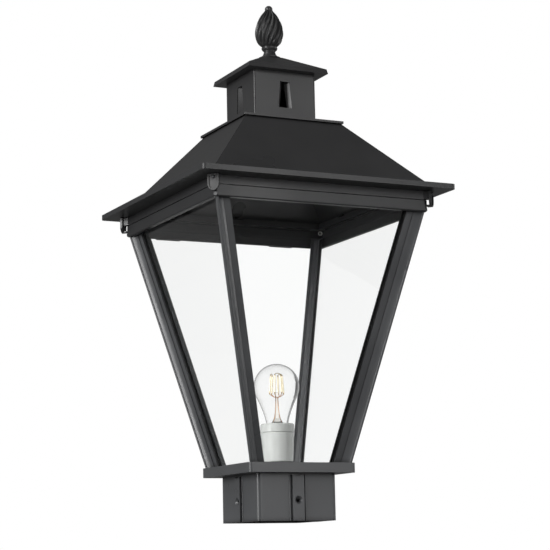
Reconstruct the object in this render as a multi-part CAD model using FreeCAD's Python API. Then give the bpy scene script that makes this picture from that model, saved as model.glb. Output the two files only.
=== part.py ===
import FreeCAD, Part
import math
import os

# Post top lantern: a square sleeve for a wooden post, a tapered glass cage on a base
# plate, and a roof with a vented chimney that swings back on two rear hinges.
# Millimetres, +Z up. The origin is the middle of the sleeve's bottom opening.
# Front is -Y, right is +X. Corner pieces are drawn on the +X axis, which stands for the
# diagonal of the square, and side pieces are drawn at the front; both are then turned.

V = FreeCAD.Vector
UP = V(0, 0, 1)
ROOT2 = math.sqrt(2.0)

# ---------------------------------------------------------------- driving dimensions
# post sleeve
post_side = 100.0             # wooden post that the sleeve slips over
post_play = 1.0               # free space on each side of the post
sleeve_wall = 5.0
sleeve_height = 60.0
sleeve_corner_r = 6.0
sleeve_top_thick = 4.0        # web that closes the sleeve and rests on the post
sleeve_top_hole_r = 30.0
rib_width = 16.4
rib_proud = 3.0
rib_top_gap = 2.6             # rib stops short of the base plate
rib_notch_r = 14.0            # shallow hollow in the rib's top
rib_notch_depth = 1.5
bead_width = 2.2
bead_gap = 1.5                # groove between the rib and its side bead
post_hole_r = 2.6
post_hole_sink_r = 5.3
post_hole_height = 26.0

# base plate
plate_side = 150.0
plate_thick = 12.5
plate_corner_r = 5.0
plate_screw_offset = 40.0     # from the middle, along X and Y
plate_screw_r = 2.5
cable_hole_r = 8.0
grommet_flange = 2.0
grommet_wall = 2.2
grommet_lip = 3.0
earth_x = 14.0
earth_y = 29.0
earth_across = 7.0
earth_head_high = 3.0
earth_screw_r = 2.0
earth_screw_depth = 8.0
earth_washer_r = 5.0
earth_washer_thick = 1.0

# glass cage
cage_height = 318.0
cage_half_bottom = 63.0       # outer face of the bar wings at the base plate
cage_half_top = 138.3         # and at the underside of the top frame
wing_width = 13.6
wing_thick = 2.2
nose_root = 4.0               # distance from the arris to the root of the nose
nose_step = 1.0
nose_length = 11.5
nose_bead_r = 1.9
nose_neck = 1.3
nose_cove_deep = 0.4          # hollow of the nose's side, along and across
nose_cove_wide = 0.5
bar_top_gap = 1.0             # bar stops this far below the top of the band
glass_thick = 4.1
glass_edge_in = 10.5          # glass edge, measured in from the cage's arris
glass_foot_gap = 0.3
glass_top_drop = 5.0          # glass stops below the top of the frame band
seal_thick = 1.0
seal_past_wing = 1.2
clamp_thick = 1.5
clamp_reach = 17.0            # outer end of a clamp leg, in from the arris
clamp_web_out = 10.5
clamp_web_in = 13.0
clamp_screw_r = 1.5
clamp_head_r = 1.8
clamp_head_high = 1.8
clamp_seat_sunk = 0.2         # seat below the strip's sloping face
clamp_screw_heights = (45.0, 148.0, 250.0)   # above the base plate
foot_screw_r = 1.5
foot_screw_out = 3.0          # out from the arris, along the diagonal
foot_screw_depth = 11.0
foot_head_r = 3.2

# top frame of the cage
frame_side = 300.0
frame_wall = 7.0
frame_corner_r = 4.0
band_height = 14.5
band_bevel = 1.4
upstand_thick = 2.0
upstand_height = 9.5          # above the band
upstand_corner_gap = 16.0     # upstand stops this far from the frame's inner corner
gasket_thick = 2.2
frame_screw_r = 1.5
frame_screw_head_r = 2.3
frame_screw_height = 2.9      # above the frame's underside
frame_screw_depth = 7.5

# roof that opens
lid_gap = 1.0                 # shadow gap between the two bands
skirt_height = 11.0
skirt_wall = 2.8
eave_side = 353.6
eave_thick = 6.7
eave_corner_r = 5.0
eave_open_half = 139.0
roof_half_bottom = 154.0
roof_half_top = 69.0
roof_height = 94.5
roof_sheet = 2.0
roof_foot_flange = 14.0
roof_top_flange = 17.0
roof_screw_r = 1.6
roof_screw_head_r = 3.0
roof_screw_head_high = 1.6
roof_screw_clear = 0.3        # between a head and the sloping sheet
roof_screw_stop = 1.5         # screw stops above the eave plate's underside
shoulder_side = 144.0
shoulder_thick = 3.0
shoulder_hole_half = 38.0

# chimney, cap and finial
chimney_side = 90.0
chimney_height = 66.8
chimney_wall = 2.0
chimney_corner_r = 3.0
vent_low = 18.4               # above the shoulder plate
vent_high = 53.6
vent_width_low = 20.2
vent_width_high = 14.1
flap_gap_low = 11.0
flap_gap_high = 3.0
flap_depth = 6.0
flap_thick = 1.2
under_play = 0.3              # round the plate that centres the cap in the chimney
under_thick = 4.0
cap_side = 115.8
cap_rim = 6.4
cap_draft = 1.4               # the rim is narrower at its top by this much a side
cap_rise = 23.0
cap_top_half = 13.0
cap_hollow_half = 38.0
cap_wall = 4.0
finial_foot_r = 15.0
finial_foot_thick = 1.2
finial_neck_r = 7.6
finial_ring_r = 10.7
finial_body_r = 19.4
finial_height = 74.5
flute_count = 16
flute_depth = 1.35
flute_twist = 62.0            # degrees from the bottom of the body to its top
rod_r = 3.0
rod_play = 0.3
tie_bar_length = 124.0
tie_bar_width = 18.0
tie_bar_thick = 4.0
nut_across = 10.0
nut_high = 5.0

# corner clips
clip_width = 14.6
clip_height = 20.6
clip_thick = 3.0
clip_stand_off = 4.6          # space between the band's corner and the clip's back
clip_block_width = 9.0
clip_block_height = 10.0
clip_block_depth = 12.0
clip_lip_half = 3.2
clip_lip_rise = 0.6           # above the clip's lowest point
clip_lip_height = 2.6
clip_lip_gap = 0.9
clip_rim = 1.8                # width of the raised edge round the clip's face
clip_sunk = 1.2
clip_top_gap = 0.4
clip_screw_r = 1.5
clip_screw_drop = 4.0         # screw axis below the soffit
clip_head_r = 2.3
clip_nut_r = 3.4
clip_nut_thick = 2.4

# rear hinges
hinge_x = 85.0
hinge_width = 34.0
hinge_leaf = 1.5
hinge_axis_out = 5.0          # pin axis behind the frame's rear face
hinge_axis_up = 3.5           # pin axis above the frame's underside
hinge_barrel_r = 3.2
hinge_pin_r = 1.5
hinge_pin_play = 0.05
hinge_middle = 14.0           # length of the middle knuckle
hinge_side_play = 0.4
hinge_strap = 1.8
hinge_screw_r = 1.4
hinge_head_r = 2.6
hinge_screw_aside = 11.5      # outer screws, from a leaf's middle
hinge_screw_drop = 3.6        # lower leaf's screws, below the band's top
hinge_screw_length = 6.5
hinge_screw_rise = 6.5        # upper leaf's screws, above the skirt's foot
hinge_back_in = 1.0           # back of the upper leaf, in front of the pin's axis
hinge_pin_past = 0.6          # pin past each end of the leaves
hinge_pin_head = 0.9

# lamp holder and lamp
bracket_length = 78.0
bracket_width = 18.0
bracket_sheet = 2.0
bracket_rise = 2.5
bracket_top_half = 26.0
bracket_screw_x = 33.0
bracket_screw_r = 2.0
bracket_head_r = 3.6
bracket_head_high = 2.16
bracket_screw_depth = 8.0
holder_foot_r = 20.0
holder_top_r = 21.4
holder_body_height = 37.9
holder_floor = 12.0
holder_ring_r = 22.0
holder_ring_height = 11.9
holder_bore_r = 15.3
holder_wire_r = 4.0           # hole for the wires in bracket and holder
holder_screw_y = 7.0
holder_screw_r = 1.5
holder_screw_head_r = 2.8
holder_screw_sunk = 4.0       # heads below the holder's floor
ring_bore_play = 0.4          # ring round the screwed shell
shell_r = 14.9
shell_wall = 0.8
shell_height = 26.0
lamp_cap_r = 13.1
lamp_cap_height = 24.0
lamp_contact_height = 1.6
thread_pitch = 3.629
thread_depth = 0.8
thread_turns = 5
lamp_neck_r = 14.2
lamp_r = 30.0
lamp_length = 105.0
lamp_tip_above_floor = 11.2
glass_skin = 0.8
contact_r = 4.8
contact_play = 0.3
stem_r = 2.2
filament_r = 0.9
support_r = 0.4
filament_length = 27.0
filament_count = 6
filament_low_r = 9.5
filament_high_r = 7.5
filament_foot = 39.0          # foot of the filaments, above the screw cap
stem_height = 42.0

# ---------------------------------------------------------------- derived levels
socket_half = post_side / 2 + post_play
sleeve_half = socket_half + sleeve_wall
plate_z = sleeve_height
plate_top = plate_z + plate_thick
frame_z = plate_top + cage_height
band_top = frame_z + band_height
skirt_z = band_top + lid_gap
eave_z = skirt_z + skirt_height
eave_top = eave_z + eave_thick
roof_top = eave_top + roof_height
shoulder_top = roof_top + shoulder_thick
cap_z = shoulder_top + chimney_height
under_z = cap_z - under_thick
under_half = chimney_side / 2 - chimney_wall - under_play
finial_z = cap_z + cap_rim + cap_rise
frame_half = frame_side / 2
frame_inner = frame_half - frame_wall
cage_slope = (cage_half_top - cage_half_bottom) / cage_height
glass_out = wing_thick + seal_thick
glass_in = glass_out + glass_thick

CORNERS = {"rear_right": 45, "rear_left": 135, "front_left": 225, "front_right": 315}
SIDES = {"front": 0, "right": 90, "rear": 180, "left": 270}


# ---------------------------------------------------------------- helpers
def turned(shape, degrees):
    """Copy of a shape, turned about the vertical axis."""
    copy = shape.copy()
    copy.rotate(V(0, 0, 0), UP, degrees)
    return copy


def around(shape, angles):
    """The same shape at each angle, as a list of separate solids."""
    return [turned(shape, angle) for angle in angles]


def box(x0, x1, y0, y1, z0, z1):
    return Part.makeBox(x1 - x0, y1 - y0, z1 - z0, V(x0, y0, z0))


def rod(radius, start, direction, length):
    return Part.makeCylinder(radius, length, start, direction)


def square_wire(half, z, corner_r=0.0):
    """Square about the axis with rounded corners."""
    if corner_r <= 0:
        points = [V(half, half, z), V(-half, half, z), V(-half, -half, z), V(half, -half, z)]
        return Part.makePolygon(points + [points[0]])
    edges = []
    inner = half - corner_r
    for angle in (45, 135, 225, 315):
        turn = math.radians(angle - 45)
        middle = V(inner * ROOT2 * math.cos(turn + math.pi / 4),
                   inner * ROOT2 * math.sin(turn + math.pi / 4), z)
        ends = [middle + V(corner_r * math.cos(turn + step), corner_r * math.sin(turn + step), 0)
                for step in (0, math.pi / 4, math.pi / 2)]
        edges.append(Part.Arc(*ends).toShape())
        following = turn + math.pi / 2
        next_middle = V(inner * ROOT2 * math.cos(following + math.pi / 4),
                        inner * ROOT2 * math.sin(following + math.pi / 4), z)
        next_start = next_middle + V(corner_r * math.cos(following), corner_r * math.sin(following), 0)
        edges.append(Part.LineSegment(ends[2], next_start).toShape())
    return Part.Wire(edges)


def square_block(half, z0, z1, corner_r=0.0):
    face = Part.Face(square_wire(half, z0, corner_r))
    return face.extrude(V(0, 0, z1 - z0))


def frustum(half0, z0, half1, z1):
    return Part.makeLoft([square_wire(half0, z0), square_wire(half1, z1)], True, True)


def revolved(points):
    """Solid of revolution about the vertical axis from (radius, height) points."""
    wire = Part.makePolygon([V(r, 0, z) for r, z in points] + [V(points[0][0], 0, points[0][1])])
    return Part.Face(wire).revolve(V(0, 0, 0), UP, 360)


def joined(shapes):
    """One solid from pieces that touch or overlap."""
    whole = shapes[0].multiFuse(shapes[1:]).removeSplitter()
    return whole.Solids[0] if len(whole.Solids) == 1 else whole


def countersunk(tip, direction, length, shank_r, head_r):
    """Flat-headed screw: tip is the middle of its flush head, direction runs to its point."""
    head = Part.makeCone(head_r, shank_r, head_r - shank_r, tip, direction)
    shank = rod(shank_r, tip, direction, length)
    return joined([head, shank])


def hexagon(across, z0, height):
    points = []
    for step in range(6):
        angle = math.radians(60 * step + 30)
        points.append(V(across / math.sqrt(3) * math.cos(angle), across / math.sqrt(3) * math.sin(angle), z0))
    return Part.Face(Part.makePolygon(points + [points[0]])).extrude(V(0, 0, height))


def cage_half(z):
    """Half size of the cage, to the outer face of the bar wings."""
    return cage_half_bottom + cage_slope * (z - plate_top)


def on_corner(along, depth, side):
    """Diagonal (out, across) place of a point, given its distances in from the arris."""
    return -(along + depth) / ROOT2, side * (along - depth) / ROOT2


def leaning(face_at_zero, z0, z1):
    """Prism that follows the cage's arris, from a section drawn with the arris at x = 0."""
    lean = V(cage_slope * ROOT2 * (z1 - z0), 0, z1 - z0)
    face = face_at_zero.copy()
    face.translate(V(cage_half(z0) * ROOT2, 0, z0))
    return face.extrude(lean)


def save(name, shapes):
    """Write one node: a solid, or a group of separate solids."""
    shape = shapes if not isinstance(shapes, list) else Part.makeCompound(shapes)
    shape.exportStep(os.path.join("parts", name + ".step"))
    solids = shape.Solids
    bad = [s for s in solids if not s.isValid()]
    print(name, len(solids), "solids", round(sum(s.Volume for s in solids) / 1000, 2), "cm3",
          "INVALID" if bad or not solids else "")


# ---------------------------------------------------------------- sleeve and base plate
def post_hole(z):
    outside = V(0, -sleeve_half - rib_proud, z)
    sink = Part.makeCone(post_hole_sink_r, post_hole_r, post_hole_sink_r - post_hole_r,
                         outside, V(0, 1, 0))
    return sink.fuse(rod(post_hole_r, outside, V(0, 1, 0), rib_proud + sleeve_wall + 1))


def sleeve():
    body = square_block(sleeve_half, 0, sleeve_height, sleeve_corner_r)
    rib_top = sleeve_height - rib_top_gap
    rib = box(-rib_width / 2, rib_width / 2, -sleeve_half - rib_proud, -sleeve_half + 1, 0, rib_top)
    notch_z = rib_top + rib_notch_r - rib_notch_depth
    rib = rib.cut(rod(rib_notch_r, V(0, -sleeve_half - rib_proud - 1, notch_z), V(0, 1, 0), rib_proud + 1))
    bead_x = rib_width / 2 + bead_gap + bead_width / 2
    beads = [rod(bead_width / 2, V(x, -sleeve_half, 0), UP, rib_top) for x in (-bead_x, bead_x)]
    ribs = []
    for angle in SIDES.values():
        ribs += [turned(piece, angle) for piece in [rib] + beads]
    body = joined([body] + ribs)
    body = body.cut(square_block(socket_half, -1, sleeve_height - sleeve_top_thick, 2.0))
    body = body.cut(rod(sleeve_top_hole_r, V(0, 0, 0), UP, sleeve_height + 1))
    for hole in around(post_hole(post_hole_height), SIDES.values()):
        body = body.cut(hole)
    for screw in plate_screws():
        body = body.cut(screw)
    return body.Solids[0]


def plate_screws():
    reach = plate_thick + sleeve_top_thick
    return [countersunk(V(x, y, plate_top), V(0, 0, -1), reach, plate_screw_r, plate_screw_r * 2)
            for x in (-plate_screw_offset, plate_screw_offset)
            for y in (-plate_screw_offset, plate_screw_offset)]


def foot_screws():
    out = cage_half_bottom * ROOT2 + foot_screw_out
    screw = countersunk(V(out, 0, plate_z), UP, plate_thick + foot_screw_depth, foot_screw_r, foot_head_r)
    return around(screw, CORNERS.values())


def bracket_screws():
    dome = Part.makeSphere(bracket_head_r, V(0, 0, 0), UP, 0, 90)
    head = dome.common(rod(bracket_head_r + 1, V(0, 0, 0), UP, bracket_head_high))
    length = bracket_sheet + bracket_screw_depth
    shank = rod(bracket_screw_r, V(0, 0, -length), UP, length)
    screw = joined([head, shank])
    screws = []
    for x in (-bracket_screw_x, bracket_screw_x):
        placed = screw.copy()
        placed.translate(V(x, 0, plate_top + bracket_sheet))
        screws.append(placed)
    return screws


def earth_screw():
    head = hexagon(earth_across, 0, earth_head_high)
    shank = rod(earth_screw_r, V(0, 0, -earth_screw_depth), UP, earth_screw_depth)
    screw = joined([head, shank, rod(earth_washer_r, V(0, 0, 0), UP, earth_washer_thick)])
    screw.translate(V(earth_x, earth_y, plate_top))
    return screw


def base_plate():
    body = square_block(plate_side / 2, plate_z, plate_top, plate_corner_r)
    cuts = plate_screws() + foot_screws() + bracket_screws() + [earth_screw()]
    cuts.append(rod(cable_hole_r, V(0, 0, plate_z - 1), UP, plate_thick + 2))
    for cut in cuts:
        body = body.cut(cut)
    return body.Solids[0]


def cable_grommet():
    low = plate_z - grommet_flange
    high = plate_top + grommet_flange
    lip = cable_hole_r + grommet_lip
    bore = cable_hole_r - grommet_wall
    return revolved([(bore, low), (lip, low), (lip, plate_z), (cable_hole_r, plate_z),
                     (cable_hole_r, plate_top), (lip, plate_top), (lip, high), (bore, high)])


# ---------------------------------------------------------------- corner bars and glass
def bar_section():
    """Outline of a corner bar: two glazing wings and a nose with a beaded edge."""
    wing_end = wing_width / ROOT2
    root = nose_root / ROOT2
    back = wing_thick / ROOT2
    bead_x = nose_length - nose_bead_r
    neck_x = bead_x - math.sqrt(nose_bead_r ** 2 - nose_neck ** 2)
    shoulder_x = -root + nose_step / ROOT2
    shoulder_y = root + nose_step / ROOT2
    cove_x = (shoulder_x + neck_x) / 2 - nose_cove_deep
    cove_y = (shoulder_y + nose_neck) / 2 - nose_cove_wide
    edges = []
    for side in (1, -1):
        outline = [V(-wing_thick * ROOT2, 0, 0), V(-wing_end - back, side * (wing_end - back), 0),
                   V(-wing_end, side * wing_end, 0), V(-root, side * root, 0),
                   V(shoulder_x, side * shoulder_y, 0)]
        for start, end in zip(outline, outline[1:]):
            edges.append(Part.LineSegment(start, end).toShape())
        cove = V(cove_x, side * cove_y, 0)
        edges.append(Part.Arc(outline[-1], cove, V(neck_x, side * nose_neck, 0)).toShape())
    edges.append(Part.Arc(V(neck_x, nose_neck, 0), V(nose_length, 0, 0), V(neck_x, -nose_neck, 0)).toShape())
    return Part.Face(Part.Wire(Part.__sortEdges__(edges)))


def clamp_seat(height):
    """Where the head of a clamp screw bears, on the diagonal, at a height above the plate."""
    arris = cage_half(plate_top + height) * ROOT2
    web_face = on_corner(clamp_web_in, glass_in + clamp_thick, 1)[0]
    return arris + web_face + clamp_head_r * cage_slope * ROOT2 + clamp_seat_sunk


def clamp_fastener(height, head_length):
    """Shank and round head, from inside the cage into a corner bar."""
    z = plate_top + height
    seat = clamp_seat(height)
    length = cage_half(z) * ROOT2 + nose_root - seat
    shank = rod(clamp_screw_r, V(seat, 0, z), V(1, 0, 0), length)
    head = rod(clamp_head_r, V(seat - head_length, 0, z), V(1, 0, 0), head_length)
    return joined([shank, head])


def clamp_screw(height):
    return clamp_fastener(height, clamp_head_high)


def clamp_hole(height):
    """The screw's hole, with a sunk seat that runs out of the sloping strip."""
    return clamp_fastener(height, 3 * clamp_head_high)


def frame_screw():
    """Screw on the diagonal through the frame's corner into the end of a bar."""
    out = frame_half * ROOT2 - frame_corner_r * (ROOT2 - 1)
    z = frame_z + frame_screw_height
    length = frame_screw_depth + out - frame_inner * ROOT2
    return countersunk(V(out, 0, z), V(-1, 0, 0), length, frame_screw_r, frame_screw_head_r)


def corner_bar():
    bar = leaning(bar_section(), plate_top, band_top - bar_top_gap)
    above = box(0, eave_side, -eave_side, eave_side, frame_z, eave_top)
    inside = turned(square_block(frame_inner, frame_z - 1, eave_top), 45)
    bar = bar.cut(above.cut(inside))
    for screw in [clamp_screw(height) for height in clamp_screw_heights] + [frame_screw()]:
        bar = bar.cut(screw)
    bar = bar.cut(turned(foot_screws()[0], -45))
    return bar.Solids[0]


def clamp_section():
    """Outline of the inside strip that holds two panes against a corner bar."""
    back = glass_in + clamp_thick
    half = [(clamp_reach, glass_in), (clamp_web_out, glass_in)]
    inner_half = [(clamp_web_in, back), (clamp_reach, back)]
    points = [on_corner(along, depth, -1) for along, depth in half]
    points += [on_corner(along, depth, 1) for along, depth in reversed(half)]
    points += [on_corner(along, depth, 1) for along, depth in reversed(inner_half)]
    points += [on_corner(along, depth, -1) for along, depth in inner_half]
    corners = [V(x, y, 0) for x, y in points]
    return Part.Face(Part.makePolygon(corners + [corners[0]]))


def glass_clamp():
    strip = leaning(clamp_section(), plate_top + glass_foot_gap, glass_top)
    for height in clamp_screw_heights:
        strip = strip.cut(clamp_hole(height))
    return strip.Solids[0]


glass_top = band_top - glass_top_drop


def side_slab(edge_in0, edge_in1, depth0, depth1, z0, z1):
    """Slab in the front side of the cage, between two depths behind the wings' outer face.

    edge_in0 and edge_in1 are the distances of its left and right ends in from the arris.
    """
    wires = []
    for z in (z0, z1):
        half = cage_half(z)
        corners = [V(-half + edge_in0, -half + depth0, z), V(half - edge_in1, -half + depth0, z),
                   V(half - edge_in1, -half + depth1, z), V(-half + edge_in0, -half + depth1, z)]
        wires.append(Part.makePolygon(corners + [corners[0]]))
    return Part.makeLoft(wires, True, True)


def glass_pane():
    return side_slab(glass_edge_in, glass_edge_in, glass_out, glass_in,
                     plate_top + glass_foot_gap, glass_top)


def seal_strips():
    """The two rubber strips of one pane, between the glass and the bar wings."""
    strips = []
    z0 = plate_top + glass_foot_gap
    for side in (-1, 1):
        wires = []
        for z in (z0, glass_top):
            half = cage_half(z)
            x0 = side * (half - glass_edge_in)
            x1 = side * (half - wing_width - seal_past_wing)
            corners = [V(x0, -half + wing_thick, z), V(x1, -half + wing_thick, z),
                       V(x1, -half + glass_out, z), V(x0, -half + glass_out, z)]
            wires.append(Part.makePolygon(corners + [corners[0]]))
        strips.append(Part.makeLoft(wires, True, True))
    return strips


# ---------------------------------------------------------------- top frame
def hinge_leaf_screws():
    """Screws that hold the lower hinge leaves to the frame's rear face."""
    z = band_top - hinge_screw_drop
    tip = frame_half + hinge_leaf
    return [countersunk(V(side * hinge_x + dx, tip, z), V(0, -1, 0), hinge_screw_length,
                        hinge_screw_r, hinge_head_r)
            for side in (-1, 1) for dx in (-hinge_screw_aside, hinge_screw_aside)]


def top_frame():
    band = square_block(frame_half, frame_z, band_top, frame_corner_r)
    outer_rims = [edge for edge in band.Edges
                  if abs(edge.BoundBox.ZMin - frame_z) < 0.01 and abs(edge.BoundBox.ZMax - frame_z) < 0.01]
    band = band.makeChamfer(band_bevel, outer_rims)
    band = band.cut(square_block(frame_inner, frame_z - 1, band_top + 1))
    rim = square_block(frame_inner + upstand_thick, band_top - 1, band_top + upstand_height)
    rim = rim.cut(square_block(frame_inner, frame_z, eave_top))
    for corner in corner_gaps():
        rim = rim.cut(corner)
    frame = band.multiFuse(rim.Solids).removeSplitter()
    for screw in around(frame_screw(), CORNERS.values()) + hinge_leaf_screws():
        frame = frame.cut(screw)
    return frame.Solids[0]


def corner_gaps():
    """Blocks that keep the upstand and its gasket out of the four corners."""
    near = frame_inner - upstand_corner_gap
    far = frame_half + 10
    gap = box(near, far, near, far, band_top, eave_top)
    return around(gap, (0, 90, 180, 270))


def lid_gasket():
    low = band_top + upstand_height
    ring = square_block(frame_inner + upstand_thick, low, low + gasket_thick)
    ring = ring.cut(square_block(frame_inner, low - 1, eave_top))
    for corner in corner_gaps():
        ring = ring.cut(corner)
    return ring.Solids


# ---------------------------------------------------------------- hinges
def hinge_axis():
    return V(0, frame_half + hinge_axis_out, frame_z + hinge_axis_up)


def knuckle(x0, x1):
    axis = hinge_axis()
    return rod(hinge_barrel_r, V(x0, axis.y, axis.z), V(1, 0, 0), x1 - x0)


def pin_hole(x0, x1, play):
    axis = hinge_axis()
    return rod(hinge_pin_r + play, V(x0 - 1, axis.y, axis.z), V(1, 0, 0), x1 - x0 + 2)


def lower_leaf(x):
    """Leaf on the cage, with the middle knuckle."""
    axis = hinge_axis()
    half = hinge_width / 2
    mid = hinge_middle / 2
    leaf = box(x - half, x + half, frame_half, frame_half + hinge_leaf, frame_z + 1, band_top - 0.6)
    neck = box(x - mid, x + mid, frame_half, axis.y, axis.z - 2, axis.z + 2)
    body = joined([leaf, neck, knuckle(x - mid, x + mid)])
    body = body.cut(pin_hole(x - mid, x + mid, 0))
    for screw in hinge_leaf_screws():
        body = body.cut(screw)
    return body.Solids[0]


def upper_leaf_screws():
    z = skirt_z + hinge_screw_rise
    tip = hinge_axis().y - hinge_back_in
    return [countersunk(V(side * hinge_x + dx, tip, z), V(0, -1, 0), tip - frame_half + skirt_wall,
                        hinge_screw_r, hinge_head_r)
            for side in (-1, 1) for dx in (-hinge_screw_aside, 0, hinge_screw_aside)]


def upper_leaf(x):
    """Leaf on the roof, with the two outer knuckles and a strap that clears the lower leaf."""
    axis = hinge_axis()
    half = hinge_width / 2
    mid = hinge_middle / 2 + hinge_side_play
    back = axis.y - hinge_back_in
    strap = box(x - half, x + half, back - hinge_strap, back, axis.z + hinge_barrel_r + 0.8, eave_z - 0.4)
    pad = box(x - half, x + half, frame_half, back, skirt_z + 1, eave_z - 0.4)
    pieces = [strap, pad]
    for x0, x1 in ((x - half, x - mid), (x + mid, x + half)):
        pieces.append(knuckle(x0, x1))
        pieces.append(box(x0, x1, back - hinge_strap, back, axis.z, axis.z + hinge_barrel_r + 1.5))
    body = joined(pieces)
    body = body.cut(pin_hole(x - half, x + half, hinge_pin_play))
    for screw in upper_leaf_screws():
        body = body.cut(screw)
    return body.Solids[0]


def hinge_pin(x):
    axis = hinge_axis()
    half = hinge_width / 2 + hinge_pin_past
    pin = rod(hinge_pin_r, V(x - half, axis.y, axis.z), V(1, 0, 0), 2 * half)
    heads = [rod(hinge_pin_r + hinge_pin_head, V(x0, axis.y, axis.z), V(1, 0, 0), hinge_pin_head)
             for x0 in (x - half - hinge_pin_head, x + half)]
    return joined([pin] + heads)


# ---------------------------------------------------------------- roof
def eave_frame():
    """Flat eave plate with the skirt that hides the joint with the cage."""
    plate = square_block(eave_side / 2, eave_z, eave_top, eave_corner_r)
    skirt = square_block(frame_half, skirt_z, eave_z, frame_corner_r)
    skirt = skirt.cut(square_block(frame_half - skirt_wall, skirt_z - 1, eave_z + 1, 1.0))
    plate = plate.cut(square_block(eave_open_half, eave_z - 1, eave_top + 1))
    frame = joined([plate, skirt])
    for screw in roof_screws() + upper_leaf_screws() + around(clip_screw(), CORNERS.values()):
        frame = frame.cut(screw)
    return frame.Solids[0]


def roof_screws():
    """Pan-headed screws inside the roof, from its foot flange down into the eave plate."""
    top = eave_top + roof_sheet
    low = eave_z + roof_screw_stop
    sheet_inside = roof_half(top + roof_screw_head_high) - roof_inset()
    out = sheet_inside - roof_screw_head_r - roof_screw_clear
    head = rod(roof_screw_head_r, V(0, 0, top), UP, roof_screw_head_high)
    shank = rod(roof_screw_r, V(0, 0, low), UP, top - low)
    screw = joined([head, shank])
    screws = []
    for angle in SIDES.values():
        for x in (-out / 2, out / 2):
            placed = screw.copy()
            placed.translate(V(x, -out, 0))
            screws.append(turned(placed, angle))
    return screws


def roof_half(z):
    return roof_half_bottom - (roof_half_bottom - roof_half_top) * (z - eave_top) / roof_height


def roof_inset():
    """Horizontal thickness of the sloping sheet."""
    slope = (roof_half_bottom - roof_half_top) / roof_height
    return roof_sheet * math.sqrt(1 + slope ** 2)


def roof_shell():
    inset = roof_inset()
    outer = frustum(roof_half_bottom, eave_top, roof_half_top, roof_top)
    hollow_low = eave_top + roof_sheet
    hollow_high = roof_top - roof_sheet
    hollow = frustum(roof_half(hollow_low) - inset, hollow_low, roof_half(hollow_high) - inset, hollow_high)
    shell = outer.cut(hollow)
    shell = shell.cut(square_block(roof_half_bottom - roof_foot_flange, eave_top - 1, hollow_low + 1))
    shell = shell.cut(square_block(roof_half_top - roof_top_flange, hollow_high - 1, roof_top + 1))
    for screw in roof_screws():
        shell = shell.cut(screw)
    return shell.Solids[0]


def shoulder_plate():
    plate = square_block(shoulder_side / 2, roof_top, shoulder_top, 1.0)
    return plate.cut(square_block(shoulder_hole_half, roof_top - 1, shoulder_top + 1)).Solids[0]


# ---------------------------------------------------------------- chimney, cap, finial
def vent_cut():
    low = shoulder_top + vent_low
    high = shoulder_top + vent_high
    y = -chimney_side / 2
    points = [V(-vent_width_low / 2, y - 1, low), V(vent_width_low / 2, y - 1, low),
              V(vent_width_high / 2, y - 1, high), V(-vent_width_high / 2, y - 1, high)]
    return Part.Face(Part.makePolygon(points + [points[0]])).extrude(V(0, chimney_wall + 2, 0))


def vent_flap(side):
    """Flap beside a vent, bent inwards from the slot's edge."""
    low = shoulder_top + vent_low
    high = shoulder_top + vent_high
    y0 = -chimney_side / 2 + chimney_wall / 2
    y1 = y0 + flap_depth
    wires = []
    for z, width, gap in ((low, vent_width_low, flap_gap_low), (high, vent_width_high, flap_gap_high)):
        corners = [V(side * width / 2, y0, z), V(side * gap / 2, y1, z),
                   V(side * (gap / 2 + flap_thick), y1, z), V(side * (width / 2 + flap_thick), y0, z)]
        wires.append(Part.makePolygon(corners + [corners[0]]))
    return Part.makeLoft(wires, True, True)


def chimney():
    tube = square_block(chimney_side / 2, shoulder_top, cap_z, chimney_corner_r)
    tube = tube.cut(square_block(chimney_side / 2 - chimney_wall, shoulder_top - 1, cap_z + 1,
                                 chimney_corner_r - chimney_wall))
    for cut in around(vent_cut(), SIDES.values()):
        tube = tube.cut(cut)
    flaps = []
    for side in (-1, 1):
        flaps += around(vent_flap(side), SIDES.values())
    return joined([tube] + flaps)


def cap_underplate():
    plate = square_block(under_half, under_z, cap_z, 2.0)
    return plate.cut(rod(rod_r + rod_play, V(0, 0, under_z - 1), UP, under_thick + 2)).Solids[0]


def cap():
    half = cap_side / 2
    rim = frustum(half, cap_z, half - cap_draft, cap_z + cap_rim)
    pyramid = frustum(half - cap_draft, cap_z + cap_rim, cap_top_half, finial_z)
    hollow = frustum(cap_hollow_half, cap_z, cap_hollow_half, cap_z + 2).fuse(
        frustum(cap_hollow_half, cap_z + 2, cap_top_half - 4, finial_z - cap_wall))
    body = joined([rim, pyramid]).cut(hollow)
    return body.cut(rod(rod_r + rod_play, V(0, 0, cap_z), UP, cap_rim + cap_rise + 1)).Solids[0]


def flute_wire(radius, z, phase, depth):
    """Wavy closed curve round the finial at one height."""
    steps = flute_count * 4
    points = []
    for step in range(steps):
        angle = 2 * math.pi * step / steps
        wave = radius + depth * (math.cos(flute_count * angle) - 1)
        points.append(V(wave * math.cos(angle + phase), wave * math.sin(angle + phase), z))
    curve = Part.BSplineCurve()
    curve.interpolate(Points=points, PeriodicFlag=True)
    return Part.Wire([curve.toShape()])


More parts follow.
